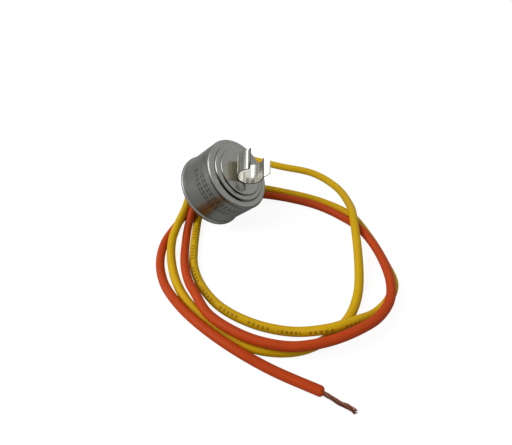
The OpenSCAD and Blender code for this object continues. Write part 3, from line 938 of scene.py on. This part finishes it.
def makeClipFinish():
    material, tree, shader = newFinish("springSteel")
    place = canCoordinates(tree)
    rolled = addNode(tree, "ShaderNodeMapping", {"vector_type": "POINT"}, Vector=place,
                     Rotation=(0, 0, -math.radians(clip["turn"])), Scale=(1, 12, 1)).outputs[0]
    grain = noise(tree, rolled, 0.9, 3.0)
    mottle = useGroup(tree, mottleGroup, Coordinates=place, Scale=0.7, Amount=0.1, Seed=2.0)
    scratches = useGroup(tree, scratchGroup, Coordinates=place, Scale=0.9, Stretch=7.0,
                         Cover=0.6)["Mask"]
    # the outer side is dulled by the heat of the welds, up to a few millimetres above the pad
    normal = tree.nodes.new("ShaderNodeTexCoord").outputs["Normal"]
    fromSeat = vectorNode(tree, "SUBTRACT", objectCoordinates(tree),
                          canToRow @ Vector((0, 0, padTop + clip["seatHeight"])))
    outward = mathNode(tree, "GREATER_THAN", vectorNode(tree, "DOT_PRODUCT", normal, fromSeat), 0.0)
    fadeFrom, fadeTo = (padTop + height for height in clip["dulledTo"])
    low = spread(tree, split(tree, place)[2], fadeFrom, fadeTo, clip["dulled"], 0.0)
    dull = times(tree, outward, low)
    steel = mixColours(tree, dull, paint(*clip["steel"]), paint(*clip["heated"]))
    rough = plus(tree, spread(tree, grain, *noiseSpan, *clip["roughness"]),
                 times(tree, scratches, 0.15))
    setInputs(tree, shader, Base_Color=toned(tree, steel, mottle["Tone"]),
              Metallic=minus(tree, 1.0, dull), Roughness=rough)
    bumped(tree, shader, minus(tree, grain, times(tree, scratches, 0.5)), clip["relief"])
    return material


shearedFinish = makePlainFinish("shearedSteel", (84, 83, 78), 0.42, 1.0, 1500, 0.3, 0.00001, 12)
springClip = makeClip(makeClipFinish(), shearedFinish)
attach(springClip, "root")
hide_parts("tube_clip")
print("clip made")


# Poured compound: sunk a little in the rear, climbing up the wall and round each lead

compound = {
    "sink": 0.3,           # mm in from the rear plane
    "climb": 0.22,         # up the wall
    "climbWidth": 0.3,
    "collar": 0.6,         # up each lead
    "collarWidth": 0.8,
    "waves": 0.05,
    "calmWidth": 2,        # the waves die out towards the wall
    "top": 4.2,
    "rings": 70,
    "segments": 144,
    "colour": (30, 30, 31),
    "roughness": 0.3,
    "relief": 0.00003,     # metres
}


def compoundHeight(x, y, r):
    c = compound
    toWall = can["boreRadius"] - r
    wave = (math.sin(0.9 * x + 0.6) * math.cos(0.7 * y) * 0.6
            + math.sin(1.9 * x - 1.3 * y) * 0.3) * min(1, toWall / c["calmWidth"])
    level = c["sink"] - c["climb"] * math.exp(-toWall / c["climbWidth"]) - c["waves"] * wave
    for side in (-1, 1):
        across = side * leads["outOfAxis"]
        d = math.hypot(x - across, y + across) - leads["diameter"] / 2
        share = min(1, max(0, 1 - d / c["collarWidth"]))
        level -= c["collar"] * share * share * (1.6 - 0.6 * share)
    return level


def makeCompound(finish):
    rings, segments, bore = compound["rings"], compound["segments"], can["boreRadius"]
    vertices = [Vector((0, 0, compoundHeight(0, 0, 0)))]
    for j in range(1, rings + 1):
        r = bore * j / rings
        vertices += [Vector((v.x, v.y, compoundHeight(v.x, v.y, r)))
                     for v in circle(r, 0, segments)]
    top = len(vertices)
    vertices += circle(bore, compound["top"], segments) + [Vector((0, 0, compound["top"]))]
    faces = [tuple(reversed(face)) for face in fan(1, 0, segments)]
    faces += (latheFaces(rings, segments, 1) + band(top - segments, top, segments)
              + fan(top, top + segments, segments))
    return canPiece("pouredCompound", vertices, faces, finish, 60)


def makeCompoundFinish():
    material, tree, shader = newFinish("blackCompound")
    place = canCoordinates(tree)
    mottle = useGroup(tree, mottleGroup, Coordinates=place, Scale=0.35, Amount=0.4, Seed=5.0)
    pits = addNode(tree, "ShaderNodeTexVoronoi", Vector=place, Scale=0.7).outputs["Distance"]
    setInputs(tree, shader, Base_Color=toned(tree, paint(*compound["colour"]), mottle["Tone"]),
              Roughness=times(tree, mottle["Tone"], compound["roughness"], clamp=True))
    height = plus(tree, mottle["Height"], times(tree, spread(tree, pits, 0.03, 0.14), 2.0))
    bumped(tree, shader, height, compound["relief"])
    return material


pouredCompound = makeCompound(makeCompoundFinish())
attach(pouredCompound, "root")
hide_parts("sealing_compound")
print("compound made")


# Finishes of the pieces inside the can: who wears it, then its colour, roughness and metallic,
# the scale and the amount of its mottle, and its relief. Its place in the list is its seed.

innerFinishes = [
    ("bimetalStrip", ["bimetal_disc"], (186, 176, 150), 0.3, 1.0, 600, 0.15, 0.000008),
    ("platedSteel", ["disc_plate"], (176, 178, 180), 0.34, 1.0, 500, 0.14, 0.000008),
    ("pressedCeramic", ["transfer_pin"], (238, 233, 220), 0.55, 0.0, 1500, 0.1, 0.00002),
    ("mouldedPhenolic", ["switch_base"], (62, 42, 32), 0.5, 0.0, 900, 0.5, 0.00003),
    ("springBronze", ["contact_arm"], (206, 142, 86), 0.28, 1.0, 500, 0.16, 0.000008),
    ("contactSilver", ["arm_contact", "fixed_contact"], (226, 226, 222), 0.24, 1.0, 700, 0.12,
     0.000006),
    ("stampedBrass", ["arm_rivet", "fixed_rivet", "arm_terminal", "fixed_terminal"],
     (204, 166, 86), 0.3, 1.0, 600, 0.18, 0.000008),
    ("pressedFibre", ["base_cover"], (148, 96, 56), 0.7, 0.0, 1100, 0.4, 0.00004),
    ("blackRubber", ["seal_ring"], (34, 34, 35), 0.62, 0.0, 1200, 0.3, 0.00003),
    ("insideCopper", ["orange_conductor", "yellow_conductor"], (196, 124, 88), 0.32, 1.0, 900, 0.3,
     0.00001),
]
for seed, (name, wearers, *look) in enumerate(innerFinishes, 1):
    finish = makePlainFinish(name, *look, seed)
    for nodeName in wearers:
        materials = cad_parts[nodeName].data.materials
        if not materials:
            materials.append(None)
        for i in range(len(materials)):
            materials[i] = finish
print("inner pieces finished")


# Table, lamp and surroundings

room = {
    "tableSize": 2.4,        # metres
    "tableDrop": 0.00002,    # keeps it just under what lies on it
    "tableGrey": 0.45,       # what the table gives back to the object
    "shadowGrey": 0.2,       # the camera sees this much of the shadow, and the rest is white
    "tableWhite": 0.9,
    "tableShine": 0.1,       # added where metal mirrors the table
    "lampPlace": (-0.279, -0.13, 0.331),
    "lampSize": 0.36,
    "lampWatts": 1.35,
    "ambient": 0.39,
    "cardWay": (-0.875, 0.235, 0.423),     # a grey card at the left, which only metal shows
    "cardGrey": 0.25,
    "windowWay": (-0.385, 0.269, 0.883),   # a bright patch overhead, which only metal shows
    "windowEdge": (0.97, 0.985),
    "windowGlow": 1.5,
}


# Whether a ray comes from the camera, and whether it was mirrored or went through something
def rayKinds(tree):
    ray = tree.nodes.new("ShaderNodeLightPath").outputs
    return ray["Is Camera Ray"], mathNode(tree, "MAXIMUM", ray["Is Glossy Ray"],
                                          ray["Is Transmission Ray"])


def makeTable():
    half, height = room["tableSize"] / 2, -room["tableDrop"]
    mesh = bpy.data.meshes.new("table")
    corners = ((-1, -1), (1, -1), (1, 1), (-1, 1))
    mesh.from_pydata([(x * half, y * half, height) for x, y in corners], [], [(0, 1, 2, 3)])
    table = addObject("table", mesh)
    material, tree, shader = newFinish("paleTable")
    tree.nodes.remove(shader)

    def layer(kind, *values):
        return addNode(tree, "ShaderNode" + kind, None, *values).outputs[0]

    fromCamera, through = rayKinds(tree)
    soft = layer("BsdfDiffuse", grey(room["tableGrey"]))
    mirrored = layer("AddShader", soft, layer("Emission", grey(1.0), room["tableShine"]))
    seen = layer("AddShader", layer("BsdfDiffuse", grey(room["shadowGrey"])),
                 layer("Emission", grey(1.0), room["tableWhite"]))
    surface = layer("MixShader", fromCamera, layer("MixShader", through, soft, mirrored), seen)
    tree.links.new(surface, tree.nodes["Material Output"].inputs["Surface"])
    mesh.materials.append(material)


def makeLamp():
    data = bpy.data.lights.new("softbox", "AREA")
    data.shape = "DISK"
    data.size = room["lampSize"]
    data.energy = room["lampWatts"]
    lamp = addObject("softbox", data)
    lamp.location = room["lampPlace"]
    lamp.rotation_euler = (-lamp.location).to_track_quat("-Z", "Y").to_euler()


def makeWorld():
    world = bpy.data.worlds.new("surroundings")
    scene.world = world
    world.use_nodes = True
    tree = world.node_tree
    fromCamera, through = rayKinds(tree)
    way = vectorNode(tree, "NORMALIZE", tree.nodes.new("ShaderNodeTexCoord").outputs["Generated"])
    toCard = vectorNode(tree, "DOT_PRODUCT", way, room["cardWay"])
    toWindow = vectorNode(tree, "DOT_PRODUCT", way, room["windowWay"])
    card = rampNode(tree, toCard, [(0.7, grey(1.0)), (0.85, grey(0.6)), (0.93, grey(0.55)),
                                   (0.975, grey(room["cardGrey"]))])
    window = spread(tree, toWindow, *room["windowEdge"], 0.0, room["windowGlow"])
    light = mixColours(tree, through, grey(room["ambient"]), vectorNode(tree, "ADD", card, window))
    setInputs(tree, tree.nodes["Background"], Strength=1.0,
              Color=mixColours(tree, fromCamera, light, grey(1.0)))


makeTable()
makeLamp()
makeWorld()
scene.view_settings.view_transform = "Standard"
print("table, lamp and surroundings made")
